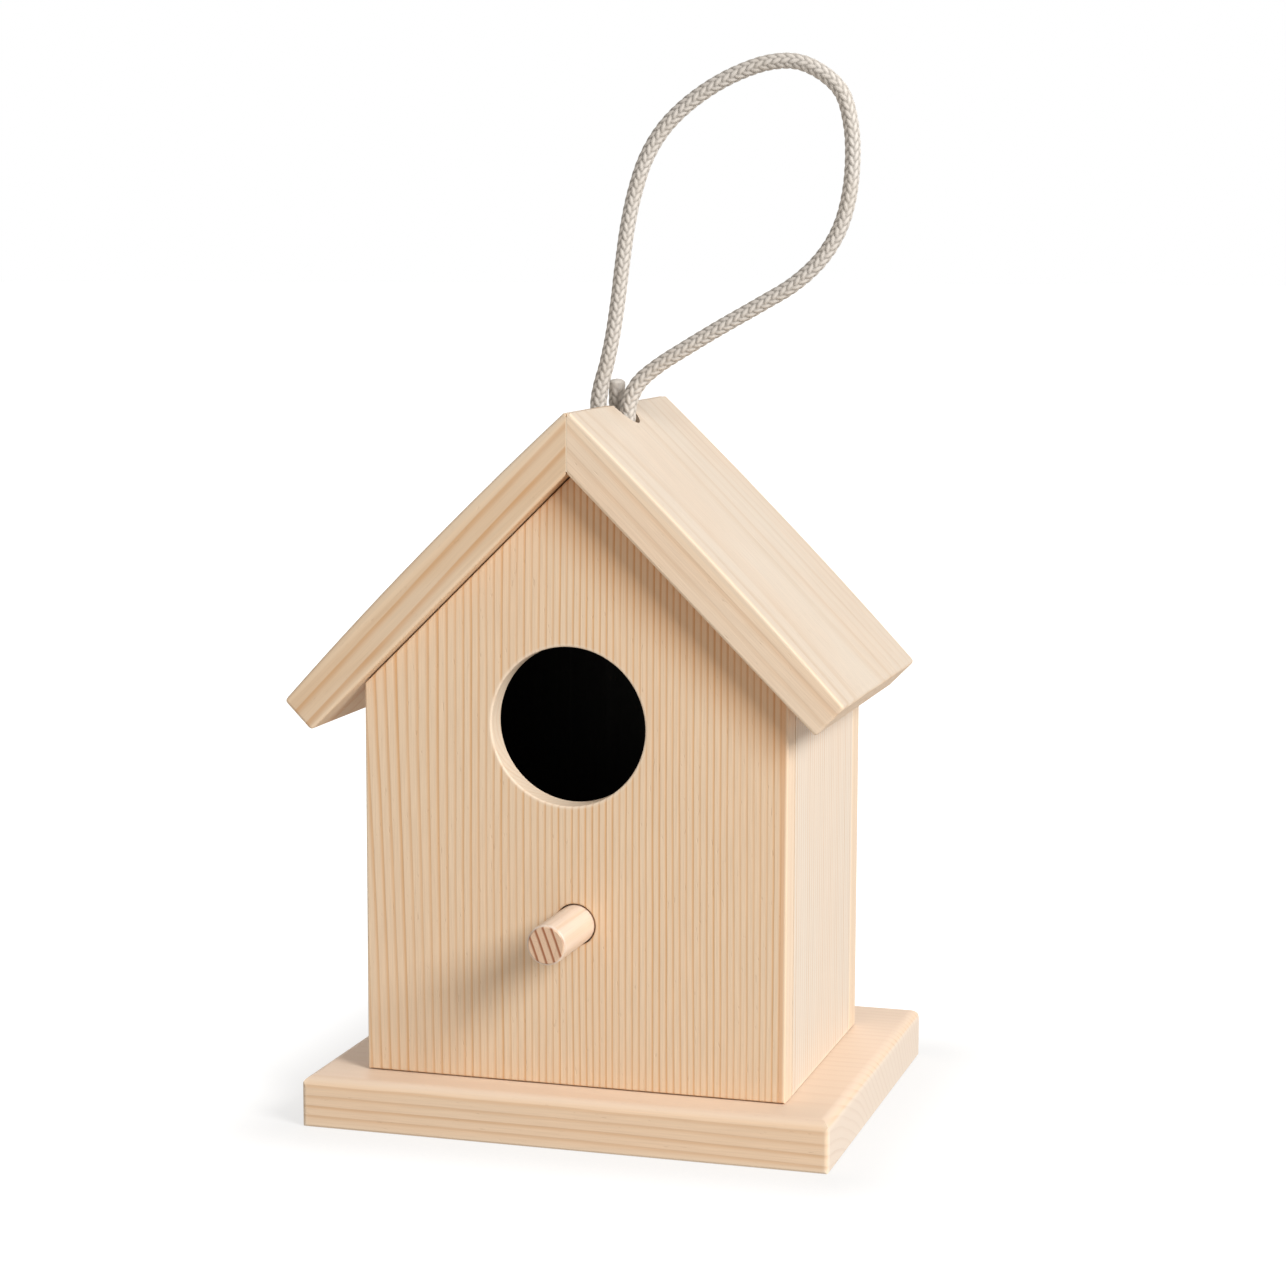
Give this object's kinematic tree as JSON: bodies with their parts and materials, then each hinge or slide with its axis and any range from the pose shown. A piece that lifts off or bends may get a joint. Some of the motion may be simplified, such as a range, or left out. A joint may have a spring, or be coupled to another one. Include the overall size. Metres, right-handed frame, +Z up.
{
  "type": "birdhouse",
  "caption": "Small free-standing or hanging softwood birdhouse with a mitred pitched roof, round entrance hole, dowel perch and a looped braided cord at the ridge.",
  "frame": {"origin": "the middle of the floor board's underside, on the surface that the house stands on", "axes": "+Z up, -Y out of the entrance hole, +X to the right of someone who faces the entrance"},
  "size_m": [0.1152, 0.0999, 0.2163],
  "materials": {
    "panel_wood": "bare sanded softwood, straight honey-coloured growth lines",
    "side_wood": "bare sanded softwood, faint vertical grain",
    "roof_wood": "bare sanded softwood, very pale, fine grain from ridge to eave",
    "base_wood": "bare sanded softwood, grain across the width",
    "dowel_wood": "smooth turned softwood dowel",
    "cord": "braided synthetic cord, soft satin sheen",
    "nail_steel": "bright wire brad"
  },
  "bodies": {
    "root": {"base_board": "base_wood", "front_panel": "panel_wood", "back_panel": "panel_wood", "left_side_panel": "side_wood", "right_side_panel": "side_wood", "left_roof_board": "roof_wood", "right_roof_board": "roof_wood", "perch_dowel": "dowel_wood", "hanging_cord": "cord", "cord_tail": "cord", "cord_knot": "cord", "base_nail_1": "nail_steel", "base_nail_2": "nail_steel", "base_nail_3": "nail_steel", "base_nail_4": "nail_steel"}
  },
  "joints": []
}
